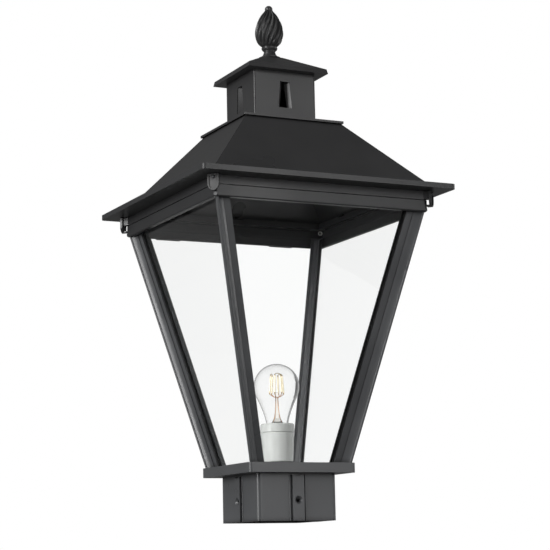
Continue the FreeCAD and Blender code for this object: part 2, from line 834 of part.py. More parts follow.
def finial():
    """Turned foot and neck, then a swelling body with twisted flutes and a small tip."""
    base = finial_z
    foot = [(0, base), (finial_foot_r, base), (finial_foot_r, base + finial_foot_thick),
            (finial_foot_r - 2.2, base + 2.2), (finial_foot_r - 5.0, base + 4.0),
            (finial_neck_r + 0.9, base + 6.4), (finial_neck_r, base + 9.2),
            (finial_neck_r + 0.6, base + 11.0), (finial_ring_r - 0.9, base + 12.2),
            (finial_ring_r, base + 13.8), (finial_ring_r, base + 15.2),
            (finial_ring_r - 1.0, base + 16.6), (finial_ring_r - 1.4, base + 18.0), (0, base + 18.0)]
    body_low = 17.0
    body_high = finial_height - 6.0
    wires = []
    # share of the body's height, share of its largest radius, share of the flute depth
    shape = ((0.0, 0.48, 0.2), (0.07, 0.73, 0.7), (0.17, 0.89, 1.0), (0.28, 0.965, 1.0),
             (0.39, 0.985, 1.0), (0.50, 0.95, 1.0), (0.61, 0.87, 1.0), (0.72, 0.745, 1.0),
             (0.82, 0.60, 0.9), (0.92, 0.40, 0.6), (1.0, 0.26, 0.2))
    for share, width, depth in shape:
        z = base + body_low + share * (body_high - body_low)
        wires.append(flute_wire(finial_body_r * width, z, math.radians(flute_twist) * share,
                                flute_depth * depth))
    body = Part.makeLoft(wires, True, False)
    tip_z = base + body_high
    tip = revolved([(0, tip_z - 1), (5.0, tip_z - 1), (5.2, tip_z + 1.5), (4.6, tip_z + 3.4),
                    (2.8, tip_z + 5.2), (0, finial_z + finial_height)])
    whole = joined([revolved(foot), body, tip])
    return whole.cut(rod(rod_r, V(0, 0, base - 1), UP, 16)).Solids[0]


def tie_bar_z():
    return roof_top - roof_sheet - tie_bar_thick


def tie_bar():
    bar = box(-tie_bar_length / 2, tie_bar_length / 2, -tie_bar_width / 2, tie_bar_width / 2,
              tie_bar_z(), tie_bar_z() + tie_bar_thick)
    return bar.cut(rod(rod_r + rod_play, V(0, 0, tie_bar_z() - 1), UP, tie_bar_thick + 2)).Solids[0]


def tie_rod():
    low = tie_bar_z() - nut_high - 3
    return rod(rod_r, V(0, 0, low), UP, finial_z + 15 - low)


def tie_nut():
    low = tie_bar_z() - nut_high
    return hexagon(nut_across, low, nut_high).cut(rod(rod_r, V(0, 0, low - 1), UP, nut_high + 2)).Solids[0]


# ---------------------------------------------------------------- corner clips
def band_corner_out():
    return frame_half * ROOT2 - frame_corner_r * (ROOT2 - 1)


def clip_screw_z():
    return eave_z - clip_screw_drop


def clip_screw():
    """Dome-headed screw from the clip's face through the skirt's corner to the nut."""
    face = band_corner_out() + clip_stand_off + clip_thick
    inner = nut_face() - clip_nut_thick - 1.0
    z = clip_screw_z()
    head = Part.makeSphere(clip_head_r, V(face - 1.2, 0, z), V(1, 0, 0), 0, 90)
    return joined([head, rod(clip_screw_r, V(inner, 0, z), V(1, 0, 0), face - inner - 1.0)])


def nut_face():
    """Place of the nut's outer face, where its rim meets the skirt's inner corner."""
    return (frame_half - skirt_wall) * ROOT2 - clip_nut_r


def clip_nut():
    nut = hexagon(clip_nut_r * math.sqrt(3), 0, clip_nut_thick)
    nut.rotate(V(0, 0, 0), V(0, 1, 0), -90)
    nut.translate(V(nut_face(), 0, clip_screw_z()))
    return nut.cut(clip_screw()).Solids[0]


def shield(x, inset, thick):
    """Prism of the clip's outline, drawn in by inset: straight top, rounded foot."""
    top = eave_z - clip_top_gap - inset
    bottom = eave_z - clip_top_gap - clip_height + inset
    half = clip_width / 2 - inset
    belly = bottom + half * 1.25
    bend = V(x, half * 0.66, bottom + half * 0.33)
    edges = [Part.LineSegment(V(x, -half, top), V(x, half, top)).toShape(),
             Part.LineSegment(V(x, half, top), V(x, half, belly)).toShape(),
             Part.Arc(V(x, half, belly), bend, V(x, 0, bottom)).toShape(),
             Part.Arc(V(x, 0, bottom), V(x, -bend.y, bend.z), V(x, -half, belly)).toShape(),
             Part.LineSegment(V(x, -half, belly), V(x, -half, top)).toShape()]
    return Part.Face(Part.Wire(edges)).extrude(V(thick, 0, 0))


def corner_clip():
    """Shield-shaped clip with a raised edge, on a block, with a lip that turns in at its foot."""
    top = eave_z - clip_top_gap
    bottom = top - clip_height
    back = band_corner_out() + clip_stand_off
    front = back + clip_thick
    plate = shield(back, 0, clip_thick)
    plate = plate.cut(shield(front - clip_sunk, clip_rim, clip_sunk + 1))
    skirt_corner = turned(square_block(frame_half, frame_z, eave_top, frame_corner_r), 45)
    block = box(back - clip_block_depth, back + 1, -clip_block_width / 2, clip_block_width / 2,
                top - clip_block_height, top)
    block = block.cut(skirt_corner)
    lip_in = band_corner_out() + clip_lip_gap
    lip_z = bottom + clip_lip_rise
    lip = box(lip_in, back + 1, -clip_lip_half, clip_lip_half, lip_z, lip_z + clip_lip_height)
    clip = joined([plate, block, lip])
    return clip.cut(clip_screw()).Solids[0]


# ---------------------------------------------------------------- lamp holder and lamp
def holder_z():
    return plate_top + bracket_rise + bracket_sheet


def holder_bracket():
    half = bracket_length / 2
    width = bracket_width / 2
    top = holder_z()
    foot = plate_top + bracket_sheet
    pieces = [box(-bracket_top_half, bracket_top_half, -width, width, top - bracket_sheet, top)]
    for side in (-1, 1):
        x0, x1 = sorted((side * bracket_top_half, side * half))
        pieces.append(box(x0, x1, -width, width, plate_top, foot))
        r0, r1 = sorted((side * bracket_top_half, side * (bracket_top_half - bracket_sheet)))
        pieces.append(box(r0, r1, -width, width, plate_top, top))
    body = joined(pieces)
    cuts = bracket_screws() + holder_screws() + [rod(holder_wire_r, V(0, 0, plate_top), UP, holder_floor)]
    for cut in cuts:
        body = body.cut(cut)
    return body.Solids[0]


def holder_screws():
    floor = holder_z() + holder_floor - holder_screw_sunk
    length = floor - holder_z() + bracket_sheet
    return [countersunk(V(0, y, floor), V(0, 0, -1), length, holder_screw_r, holder_screw_head_r)
            for y in (-holder_screw_y, holder_screw_y)]


def holder_body():
    low = holder_z()
    top = low + holder_body_height
    floor = low + holder_floor
    body = revolved([(holder_wire_r, low), (holder_foot_r - 1.0, low), (holder_foot_r, low + 1.0),
                     (holder_top_r, top - 1.2), (holder_top_r - 0.8, top), (holder_bore_r, top),
                     (holder_bore_r, floor), (holder_wire_r, floor)])
    for screw in holder_screws():
        place = screw.BoundBox.Center
        sunk = V(place.x, place.y, floor - holder_screw_sunk)
        clear = rod(holder_screw_head_r, sunk, UP, holder_screw_sunk + 1)
        body = body.cut(screw).cut(clear)
    return body.Solids[0]


def holder_ring():
    low = holder_z() + holder_body_height
    top = low + holder_ring_height
    bore = shell_r + ring_bore_play
    return revolved([(bore, low), (holder_ring_r - 0.8, low), (holder_ring_r, low + 0.8),
                     (holder_ring_r, top - 1.5), (holder_ring_r - 1.5, top), (holder_bore_r + 1.0, top),
                     (bore, top - 3.0)])


def holder_shell():
    low = holder_z() + holder_floor
    top = low + shell_height
    inner = shell_r - shell_wall
    return revolved([(shell_r, low), (shell_r, top), (inner, top), (inner, low + 1.0),
                     (8.0, low + 1.0), (8.0, low)])


def lamp_tip():
    return holder_z() + holder_floor + lamp_tip_above_floor


def centre_contact():
    """Sprung tongue under the lamp's tip."""
    low = holder_z() + holder_floor
    top = lamp_tip() - contact_play
    pieces = [box(-5.0, 5.0, -2.5, 2.5, low, low + 0.8),
              box(-5.0, -4.2, -2.5, 2.5, low, top),
              box(-5.0, 4.0, -2.5, 2.5, top - 0.8, top)]
    return joined(pieces)


def lamp_contact():
    tip = lamp_tip()
    top = tip + lamp_contact_height
    return revolved([(0, tip), (3.4, tip), (contact_r, tip + 1.2), (contact_r, top), (0, top)])


def lamp_cap():
    """Screw cap with a rolled thread, on its insulating ring."""
    low = lamp_tip() + lamp_contact_height
    start = low + 2.6
    points = [(0, low), (contact_r + 0.8, low), (lamp_cap_r - 2.0, start - 0.4),
              (lamp_cap_r - thread_depth, start)]
    for turn in range(thread_turns):
        z = start + turn * thread_pitch
        points.append((lamp_cap_r - thread_depth, z + thread_pitch * 0.22))
        points.append((lamp_cap_r, z + thread_pitch * 0.42))
        points.append((lamp_cap_r, z + thread_pitch * 0.62))
        points.append((lamp_cap_r - thread_depth, z + thread_pitch * 0.82))
    top = low + lamp_cap_height
    points += [(lamp_cap_r - thread_depth, top - 1.4), (lamp_neck_r - 0.6, top), (0, top)]
    return revolved(points)


def lamp_profile(inset):
    """Half outline of the lamp's glass, as edges from the neck to the crown."""
    neck_z = lamp_tip() + lamp_contact_height + lamp_cap_height
    crown_z = lamp_tip() + lamp_length
    middle = crown_z - lamp_r
    radius = lamp_r - inset
    join = math.radians(-28)
    low_join = V(radius * math.cos(join), 0, middle + radius * math.sin(join))
    arc = Part.Arc(low_join, V(radius * math.cos(0.6), 0, middle + radius * math.sin(0.6)),
                   V(0, 0, middle + radius)).toShape()
    neck = V(lamp_neck_r - inset, 0, neck_z)
    side = Part.BSplineCurve()
    side.interpolate(Points=[neck, V(lamp_neck_r + 3.2 - inset, 0, neck_z + 14), low_join],
                     InitialTangent=V(0.1, 0, 1), FinalTangent=V(-math.sin(join), 0, math.cos(join)))
    return neck, [side.toShape(), arc], V(0, 0, middle + radius)


def lamp_glass():
    neck_out, outside, crown_out = lamp_profile(0)
    neck_in, inside, crown_in = lamp_profile(glass_skin)
    edges = outside + inside
    edges.append(Part.LineSegment(neck_out, neck_in).toShape())
    edges.append(Part.LineSegment(crown_out, crown_in).toShape())
    face = Part.Face(Part.Wire(Part.__sortEdges__(edges)))
    return face.revolve(V(0, 0, 0), UP, 360).Solids[0]


def lamp_stem():
    low = lamp_tip() + lamp_contact_height + lamp_cap_height
    return revolved([(0, low), (lamp_neck_r - glass_skin - 1.2, low), (7.0, low + 3), (4.5, low + 8),
                     (3.2, low + 14), (stem_r, low + 22), (stem_r, low + stem_height),
                     (0, low + stem_height)])


def lamp_filaments():
    """Filament rods that lean outwards round the stem, each on its support wire."""
    low = lamp_tip() + lamp_contact_height + lamp_cap_height + filament_foot
    lean = filament_high_r - filament_low_r
    rise = math.sqrt(filament_length ** 2 - lean ** 2)
    rods = []
    for step in range(filament_count):
        filament = rod(filament_r, V(filament_low_r, 0, low), V(lean, 0, rise), filament_length)
        foot = rod(support_r, V(stem_r, 0, low + 2 * support_r), V(1, 0, 0), filament_low_r - stem_r)
        rods.append(turned(joined([filament, foot]), 360.0 * step / filament_count))
    return rods


# ---------------------------------------------------------------- write every node
os.makedirs("parts", exist_ok=True)
save("post_sleeve", sleeve())
save("base_plate", base_plate())
save("sleeve_screws", plate_screws())
save("cable_grommet", cable_grommet())
save("bar_foot_screws", foot_screws())
save("earth_screw", earth_screw())
for corner, angle in CORNERS.items():
    save("corner_bar_" + corner, turned(corner_bar(), angle))
    save("glass_clamp_" + corner, turned(glass_clamp(), angle))
    save("corner_clip_" + corner, turned(corner_clip(), angle))
for side, angle in SIDES.items():
    save("glass_pane_" + side, turned(glass_pane(), angle))
    save("glass_seals_" + side, [turned(strip, angle) for strip in seal_strips()])
save("clamp_screws", [screw for height in clamp_screw_heights
                      for screw in around(clamp_screw(height), CORNERS.values())])
save("top_frame", top_frame())
save("frame_corner_screws", around(frame_screw(), CORNERS.values()))
save("lid_gasket", lid_gasket())
save("hinge_lower_leaves", [lower_leaf(-hinge_x), lower_leaf(hinge_x)])
save("hinge_upper_leaves", [upper_leaf(-hinge_x), upper_leaf(hinge_x)])
save("hinge_pins", [hinge_pin(-hinge_x), hinge_pin(hinge_x)])
save("hinge_lower_screws", hinge_leaf_screws())
save("hinge_upper_screws", upper_leaf_screws())
save("eave_frame", eave_frame())
save("roof_shell", roof_shell())
save("roof_screws", roof_screws())
save("shoulder_plate", shoulder_plate())
save("chimney", chimney())
save("cap_underplate", cap_underplate())
save("chimney_cap", cap())
save("finial", finial())
save("tie_rod", tie_rod())
save("tie_bar", tie_bar())
save("tie_nut", tie_nut())
save("clip_screws", around(clip_screw(), CORNERS.values()))
save("clip_nuts", around(clip_nut(), CORNERS.values()))
save("holder_bracket", holder_bracket())
save("bracket_screws", bracket_screws())
save("holder_screws", holder_screws())
save("holder_body", holder_body())
save("holder_ring", holder_ring())
save("holder_shell", holder_shell())
save("centre_contact", centre_contact())
save("lamp_contact", lamp_contact())
save("lamp_cap", lamp_cap())
save("lamp_glass", lamp_glass())
save("lamp_stem", lamp_stem())
save("lamp_filaments", lamp_filaments())
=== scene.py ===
import math

import bmesh
import bpy
from mathutils import Matrix, Vector


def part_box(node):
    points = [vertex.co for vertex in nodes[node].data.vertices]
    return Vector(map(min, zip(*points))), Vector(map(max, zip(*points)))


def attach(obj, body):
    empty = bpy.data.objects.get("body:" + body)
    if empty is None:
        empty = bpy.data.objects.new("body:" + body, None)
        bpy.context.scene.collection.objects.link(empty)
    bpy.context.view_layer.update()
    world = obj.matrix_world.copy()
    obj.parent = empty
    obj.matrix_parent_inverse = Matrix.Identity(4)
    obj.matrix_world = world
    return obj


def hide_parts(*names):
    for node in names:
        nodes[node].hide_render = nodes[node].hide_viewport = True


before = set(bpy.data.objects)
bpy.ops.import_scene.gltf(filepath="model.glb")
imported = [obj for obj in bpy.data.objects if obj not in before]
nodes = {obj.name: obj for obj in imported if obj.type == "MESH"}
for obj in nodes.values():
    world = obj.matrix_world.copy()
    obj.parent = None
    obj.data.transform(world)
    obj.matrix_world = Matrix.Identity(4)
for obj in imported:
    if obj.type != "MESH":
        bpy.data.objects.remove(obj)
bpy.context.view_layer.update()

# Lengths are in metres. A relief is its repeats per metre, its strength and its depth.

# ---------------------------------------------------------------- camera
PHOTO_SIDE = 550.0             # pixels
FOCAL = 1818.4                 # pixels
SENSOR = 36.0                  # millimetres
VIEW_AZIMUTH = math.radians(-25.782)
VIEW_ELEVATION = math.radians(-9.19)
VIEW_ROLL = math.radians(-1.161)
VIEW_DISTANCE = 2.4005
VIEW_HEIGHT = 0.323233
VIEW_SIDEWAYS = 0.001305

# ---------------------------------------------------------------- powder coat
COAT = (0.105, 0.108, 0.113)           # castings: bars, base plate and sleeve
COAT_BAND_SHADED = (0.042, 0.0425, 0.044)     # the bands on both sides of the roof's joint: the castings' coat made darker, as painted shade
COAT_SHEET_SHADED = (0.044, 0.044, 0.045)     # roof, chimney, finial and clips: the castings' coat made darker, as painted shade
CAST_ROUGHNESS = 0.32
BAND_ROUGHNESS = 0.36
SHEET_ROUGHNESS = 0.30
SHEET_GRAIN = 0.7              # the sheet's relief, as a share of the castings'
SHINIER = 0.05                 # roughness lost and gained over the cloudy patches
DULLER = 0.08
COAT_WORN = 0.72               # darker patches of a coat, as a share of its colour
COAT_CLOUD = 9.0               # repeats per metre
COAT_PEEL = (260.0, 0.10, 0.0003)
COAT_GRIT = (900.0, 0.08, 0.00015)
# Painted shade in grooves and inner corners: how far the occlusion looks, how dark it paints, and between
# which openness it fades.
GROOVE_REACH = 0.007
GROOVE_SHADE = 0.22            # what is left of the colour deep in a groove
GROOVE_DEEP = 0.3              # openness of a spot, from 0 to 1, that counts as deep
GROOVE_OPEN = 0.95
GROOVE_SAMPLES = 6

# ---------------------------------------------------------------- other surfaces
GLAZE = (0.80, 0.815, 0.79)
GLAZE_DIM = (0.76, 0.775, 0.75)
GLAZE_CLOUD = 60.0
GLAZE_WAVE = (160.0, 0.05, 0.0003)
GLAZE_ROUGHNESS = 0.12
GLAZE_COAT = 0.6
GLAZE_COAT_ROUGHNESS = 0.04
PANE_INDEX = 1.2               # low, so that two slanting panes stay as clear as they look
BULB_INDEX = 1.32
CLEAR = (1.0, 1.0, 1.0)
PANE_TINT = (0.996, 1.0, 0.998)
STEM_TINT = (1.0, 0.97, 0.92)
GLASS_WAVE = (14.0, 0.02, 0.0002)
BRASS = (0.78, 0.60, 0.28)
ZINC = (0.62, 0.62, 0.60)
NICKEL = (0.70, 0.69, 0.66)
LAMP_WIRE = (0.85, 0.40, 0.15)
METAL_DARK = 0.78              # darker grains of a metal, as a share of its colour
METAL_RELIEF = (900.0, 0.10, 0.0001)
RUBBER = (0.020, 0.020, 0.020)
RUBBER_DARK = (0.011, 0.011, 0.011)
RUBBER_RELIEF = (700.0, 0.15, 0.0001)
RUBBER_ROUGHNESS = 0.75
ROD_COAT = (0.97, 0.90, 0.72)
ROD_COAT_DARK = (0.95, 0.82, 0.56)
# Painted glow of the filament rods: its colour and its strength.
ROD_PAINTED_GLOW_COLOUR = (1.0, 0.90, 0.70)
ROD_PAINTED_GLOW = 0.20
ROD_ROUGHNESS = 0.4
ROD_RELIEF = (1400.0, 0.2, 0.0001)
FLOOR = (0.42, 0.42, 0.418)
FLOOR_DIM = (0.40, 0.40, 0.398)
FLOOR_CLOUD = 2.0
FLOOR_GLOW = 0.55              # keeps the floor pale without lighting the lantern
FLOOR_HALF = 8.0
FLOOR_SUNK = 0.0005

# ---------------------------------------------------------------- the lamp's inside
FILAMENTS = 6
FILAMENT_R = 0.00115
FILAMENT_FOOT_R = 0.0095
FILAMENT_TOP_R = 0.0075
FILAMENT_PHASE = math.radians(-11)
FILAMENT_INSET = 0.0006        # rods' ends, in from the CAD rods' box
ROD_FORM = ((0.07, 0.35), (0.085, 0.8), (0.11, 1.0), (0.3, 1.0), (0.5, 1.0),
            (0.7, 1.0), (0.89, 1.0), (0.915, 0.8), (0.93, 0.35))   # share of length, of radius
ROD_SIDES = 16
TIP_R = 0.00085
TIP_LOW = (0.0, 0.04, 0.075)   # shares of a rod's length
TIP_HIGH = (0.925, 0.96, 1.0)
TIP_SIDES = 10
WIRE_R = 0.00042
WIRE_SIDES = 8
WIRE_ARCH = 0.0012
WIRE_ARCH_SHARES = (0.0, 0.15, 0.35, 0.5, 0.65, 0.85, 1.0)
WIRE_DROP = 0.004
WIRE_ROOT_R = 0.0012
WIRE_SAG = 0.0006
WIRE_LOW_SHARE = 0.4           # along a wire from its root, where it sags
WIRE_HIGH_SHARE = 0.8
STEM_WIRE = ((0.0055, 0.001), (0.0030, 0.010), (0.0016, 0.022))    # out, up from the stem's foot
STEM_WIRE_TOP_OUT = 0.0011

# ---------------------------------------------------------------- studio
STUDIO_FRONT = 0.03            # brightness of what a mirror facing the front sees
STUDIO_BACK = 0.14
STUDIO_FRONT_Y = -0.75         # from here to there, in a direction's y, the one becomes the other
STUDIO_BACK_Y = 0.6
STUDIO_CEILING = 0.5           # share of it that is left overhead
STUDIO_CEILING_Z = 0.5
STUDIO_FLOOR = 0.12            # soft light from below and from above
STUDIO_FILL = 0.20
STUDIO_FILL_Z = 0.2
MIRRORED_WHITE = 0.3           # share of the white behind, in what is seen by way of a reflection
LIT_MIDDLE = (0.0, 0.0, 0.34)
SOFTBOXES = (                  # name, place, width, height, watts
    ("front", (0.6, -2.9, 0.75), 2.0, 1.7, 26.0),
    ("left", (-2.8, -0.6, 0.8), 0.9, 1.6, 54.0),
    ("top_left", (-1.5, 0.2, 2.4), 1.2, 1.2, 12.0),
    ("strip_right", (2.3, -0.9, 0.9), 0.5, 1.6, 11.0))

# ---------------------------------------------------------------- softened edges
CORNERS = ("rear_right", "rear_left", "front_left", "front_right")
CLIPS_AND_BARS = [kind + corner for kind in ("corner_clip_", "corner_bar_") for corner in CORNERS]
SHARPEST_KEPT = math.radians(35)
SOFT_EDGES = (                 # nodes, width, segments
    (("base_plate", "shoulder_plate", "chimney_cap", "top_frame"), 0.0008, 2),
    (("eave_frame",), 0.0012, 3),
    (("post_sleeve", "roof_shell", "chimney"), 0.0005, 2),
    (CLIPS_AND_BARS, 0.0004, 2))


# ---------------------------------------------------------------- shader helpers
def new_material(name):
    material = bpy.data.materials.new(name)
    material.use_nodes = True
    tree = material.node_tree
    return material, tree, tree.nodes["Principled BSDF"]


def noise(tree, scale, detail=2.0):
    """Noise in object space. The scale is in repeats per metre."""
    place = tree.nodes.new("ShaderNodeTexCoord")
    texture = tree.nodes.new("ShaderNodeTexNoise")
    texture.inputs["Scale"].default_value = scale
    texture.inputs["Detail"].default_value = detail
    tree.links.new(place.outputs["Object"], texture.inputs["Vector"])
    return texture.outputs["Fac"]


def ramp(tree, source, low, high, start=0.35, end=0.65):
    """Colours or greys from low to high as source goes from start to end."""
    node = tree.nodes.new("ShaderNodeValToRGB")
    for stop, place, value in ((0, start, low), (1, end, high)):
        colour = value if isinstance(value, tuple) else (value, value, value)
        node.color_ramp.elements[stop].position = place
        node.color_ramp.elements[stop].color = (*colour, 1.0)
    tree.links.new(source, node.inputs["Fac"])
    return node.outputs["Color"]


def bump(tree, shader, layers):
    """Stacks bump layers, each (height socket, strength, depth)."""
    normal = None
    for height, strength, depth in layers:
        node = tree.nodes.new("ShaderNodeBump")
        node.inputs["Strength"].default_value = strength
        node.inputs["Distance"].default_value = depth
        tree.links.new(height, node.inputs["Height"])
        if normal:
            tree.links.new(normal, node.inputs["Normal"])
        normal = node.outputs["Normal"]
    tree.links.new(normal, shader.inputs["Normal"])


def combine(tree, operation, first, second):
    node = tree.nodes.new("ShaderNodeMath")
    node.operation = operation
    for socket, value in ((0, first), (1, second)):
        if isinstance(value, float):
            node.inputs[socket].default_value = value
        else:
            tree.links.new(value, node.inputs[socket])
    return node.outputs["Value"]


def remap(tree, source, from_low, from_high, to_low, to_high):
    node = tree.nodes.new("ShaderNodeMapRange")
    node.inputs["From Min"].default_value = from_low
    node.inputs["From Max"].default_value = from_high
    node.inputs["To Min"].default_value = to_low
    node.inputs["To Max"].default_value = to_high
    tree.links.new(source, node.inputs["Value"])
    return node.outputs["Result"]


def pick(tree, factor, low, high):
    """low where factor is 0 and high where it is 1."""
    mix = tree.nodes.new("ShaderNodeMixShader")
    tree.links.new(factor, mix.inputs["Fac"])
    tree.links.new(low, mix.inputs[1])
    tree.links.new(high, mix.inputs[2])
    return mix.outputs["Shader"]


def looked_at(tree):
    """1 for what the eye sees straight or through glass, 0 for reflections and bounced light."""
    path = tree.nodes.new("ShaderNodeLightPath")
    seen = combine(tree, "MAXIMUM", path.outputs["Is Camera Ray"], path.outputs["Is Transmission Ray"])
    unmirrored = remap(tree, path.outputs["Glossy Depth"], 0.0, 1.0, 1.0, MIRRORED_WHITE)
    direct = combine(tree, "LESS_THAN", path.outputs["Diffuse Depth"], 0.5)
    return combine(tree, "MULTIPLY", combine(tree, "MULTIPLY", seen, direct), unmirrored)


# ---------------------------------------------------------------- materials
def painted_groove_shade(tree, colour):
    """Painted shade: darkens a colour in grooves and inner corners, the more the more closed in a spot
    is.
    """
    corners = tree.nodes.new("ShaderNodeAmbientOcclusion")
    corners.samples = GROOVE_SAMPLES
    corners.inputs["Distance"].default_value = GROOVE_REACH
    shade = ramp(tree, corners.outputs["AO"], GROOVE_SHADE, 1.0, GROOVE_DEEP, GROOVE_OPEN)
    mix = tree.nodes.new("ShaderNodeMix")
    mix.data_type = "RGBA"
    mix.blend_type = "MULTIPLY"
    mix.inputs[0].default_value = 1.0
    tree.links.new(colour, mix.inputs[6])
    tree.links.new(shade, mix.inputs[7])
    return mix.outputs[2]


def powder_coat(name, colour, roughness, grain=1.0):
    """Charcoal powder coat: orange peel, fine grit and faint uneven gloss."""
    material, tree, shader = new_material(name)
    cloud = noise(tree, COAT_CLOUD, 3.0)
    worn = tuple(COAT_WORN * part for part in colour)
    coat = ramp(tree, cloud, worn, colour, 0.2, 0.62)
    uneven = ramp(tree, cloud, roughness - SHINIER, roughness + DULLER)
    # Painted shade darkens the coat's colour in its grooves and inner corners.
    tree.links.new(painted_groove_shade(tree, coat), shader.inputs["Base Color"])
    tree.links.new(uneven, shader.inputs["Roughness"])
    bump(tree, shader, [(noise(tree, scale), strength * grain, depth)
                        for scale, strength, depth in (COAT_PEEL, COAT_GRIT)])
    return material


def clear_glass(name, ior, tint):
    """Clear glass that lets the lamps' light straight through, as a thin pane does."""
    material, tree, shader = new_material(name)
    shader.inputs["Base Color"].default_value = (*tint, 1.0)
    shader.inputs["Roughness"].default_value = 0.0
    shader.inputs["IOR"].default_value = ior
    shader.inputs["Transmission Weight"].default_value = 1.0
    scale, strength, depth = GLASS_WAVE
    bump(tree, shader, [(noise(tree, scale, 1.0), strength, depth)])
    path = tree.nodes.new("ShaderNodeLightPath")
    clear = tree.nodes.new("ShaderNodeBsdfTransparent")
    clear.inputs["Color"].default_value = (*tint, 1.0)
    surface = pick(tree, path.outputs["Is Shadow Ray"], shader.outputs["BSDF"], clear.outputs["BSDF"])
    tree.links.new(surface, tree.nodes["Material Output"].inputs["Surface"])
    return material


def porcelain():
    material, tree, shader = new_material("white_glaze")
    cloud = noise(tree, GLAZE_CLOUD)
    tree.links.new(ramp(tree, cloud, GLAZE_DIM, GLAZE), shader.inputs["Base Color"])
    shader.inputs["Roughness"].default_value = GLAZE_ROUGHNESS
    shader.inputs["Coat Weight"].default_value = GLAZE_COAT
    shader.inputs["Coat Roughness"].default_value = GLAZE_COAT_ROUGHNESS
    scale, strength, depth = GLAZE_WAVE
    bump(tree, shader, [(noise(tree, scale, 1.0), strength, depth)])
    return material


def metal(name, colour, roughness):
    material, tree, shader = new_material(name)
    scale, strength, depth = METAL_RELIEF
    grain = noise(tree, scale)
    dark = tuple(METAL_DARK * part for part in colour)
    tree.links.new(ramp(tree, grain, dark, colour), shader.inputs["Base Color"])
    tree.links.new(ramp(tree, grain, roughness * 0.8, roughness * 1.3), shader.inputs["Roughness"])
    shader.inputs["Metallic"].default_value = 1.0
    bump(tree, shader, [(grain, strength, depth)])
    return material


def grained(name, relief, dark, light, roughness):
    """A material with one fine grain, in its colour and in its relief. Gives its shader too."""
    material, tree, shader = new_material(name)
    scale, strength, depth = relief
    grain = noise(tree, scale)
    tree.links.new(ramp(tree, grain, dark, light), shader.inputs["Base Color"])
    shader.inputs["Roughness"].default_value = roughness
    bump(tree, shader, [(grain, strength, depth)])
    return material, shader


def rubber():
    return grained("black_rubber", RUBBER_RELIEF, RUBBER_DARK, RUBBER, RUBBER_ROUGHNESS)[0]


def rod_coating():
    """Coated filament rod: pale warm yellow, with a faint painted glow that stands in for the light that
    it lets through.
    """
    material, shader = grained("filament_coating", ROD_RELIEF, ROD_COAT_DARK, ROD_COAT, ROD_ROUGHNESS)
    # Painted light: the rods give off a little light of their own.
    shader.inputs["Emission Color"].default_value = (*ROD_PAINTED_GLOW_COLOUR, 1.0)
    shader.inputs["Emission Strength"].default_value = ROD_PAINTED_GLOW
    return material


def floor_paint():
    """Pale floor, there only for an eye above it: the photograph looks up from below it."""
    material, tree, shader = new_material("pale_floor")
    cloud = noise(tree, FLOOR_CLOUD)
    tree.links.new(ramp(tree, cloud, FLOOR_DIM, FLOOR), shader.inputs["Base Color"])
    shader.inputs["Roughness"].default_value = 1.0
    shader.inputs["Specular IOR Level"].default_value = 0.0
    shader.inputs["Emission Color"].default_value = (1.0, 1.0, 1.0, 1.0)
    shader.inputs["Emission Strength"].default_value = FLOOR_GLOW
    side = tree.nodes.new("ShaderNodeNewGeometry")
    above = combine(tree, "SUBTRACT", 1.0, side.outputs["Backfacing"])
    shown = combine(tree, "MULTIPLY", above, looked_at(tree))
    gap = tree.nodes.new("ShaderNodeBsdfTransparent")
    surface = pick(tree, shown, gap.outputs["BSDF"], shader.outputs["BSDF"])
    tree.links.new(surface, tree.nodes["Material Output"].inputs["Surface"])
    return material


coat_cast = powder_coat("powder_coat_casting", COAT, CAST_ROUGHNESS)
# The band and sheet coats are the castings' coat made darker: painted shade for the upper parts, the
# clips and the pieces inside.
coat_band_shaded = powder_coat("powder_coat_band_painted_shade", COAT_BAND_SHADED, BAND_ROUGHNESS)
coat_sheet_shaded = powder_coat("powder_coat_sheet_painted_shade", COAT_SHEET_SHADED, SHEET_ROUGHNESS, SHEET_GRAIN)
pane_glass = clear_glass("pane_glass", PANE_INDEX, PANE_TINT)
bulb_glass = clear_glass("bulb_glass", BULB_INDEX, CLEAR)
stem_glass = clear_glass("stem_glass", PANE_INDEX, STEM_TINT)
glaze = porcelain()
zinc = metal("zinc_plate", ZINC, 0.35)
nickel = metal("nickel_cap", NICKEL, 0.28)
brass = metal("brass", BRASS, 0.3)
wire_copper = metal("lamp_wire", LAMP_WIRE, 0.35)
black_rubber = rubber()
filament_coat = rod_coating()

# Nodes that aren't named here are castings.
NODE_MATERIALS = {
    "roof_shell": coat_sheet_shaded, "chimney": coat_sheet_shaded, "shoulder_plate": coat_sheet_shaded,
    "chimney_cap": coat_sheet_shaded, "cap_underplate": coat_sheet_shaded, "finial": coat_sheet_shaded,
    "roof_screws": coat_sheet_shaded, "holder_bracket": coat_sheet_shaded,
    "eave_frame": coat_band_shaded, "top_frame": coat_band_shaded,
    "cable_grommet": black_rubber, "lid_gasket": black_rubber,
    "clip_nuts": zinc, "tie_rod": zinc, "tie_bar": zinc, "tie_nut": zinc, "hinge_pins": zinc,
    "bar_foot_screws": zinc, "sleeve_screws": zinc, "bracket_screws": zinc,
    "holder_screws": zinc, "earth_screw": brass,
    "holder_body": glaze, "holder_ring": glaze, "holder_shell": nickel, "centre_contact": brass,
    "lamp_cap": nickel, "lamp_contact": zinc, "lamp_glass": bulb_glass, "lamp_stem": stem_glass,
    "lamp_filaments": filament_coat}
FAMILY_MATERIALS = {"glass_pane": pane_glass, "glass_seals": black_rubber, "corner_clip": coat_sheet_shaded}


def dress_nodes():
    for name, node in nodes.items():
        material = NODE_MATERIALS.get(name, coat_cast)
        for family, shared in FAMILY_MATERIALS.items():
            if name.startswith(family):
                material = shared
        node.data.materials.clear()
        node.data.materials.append(material)


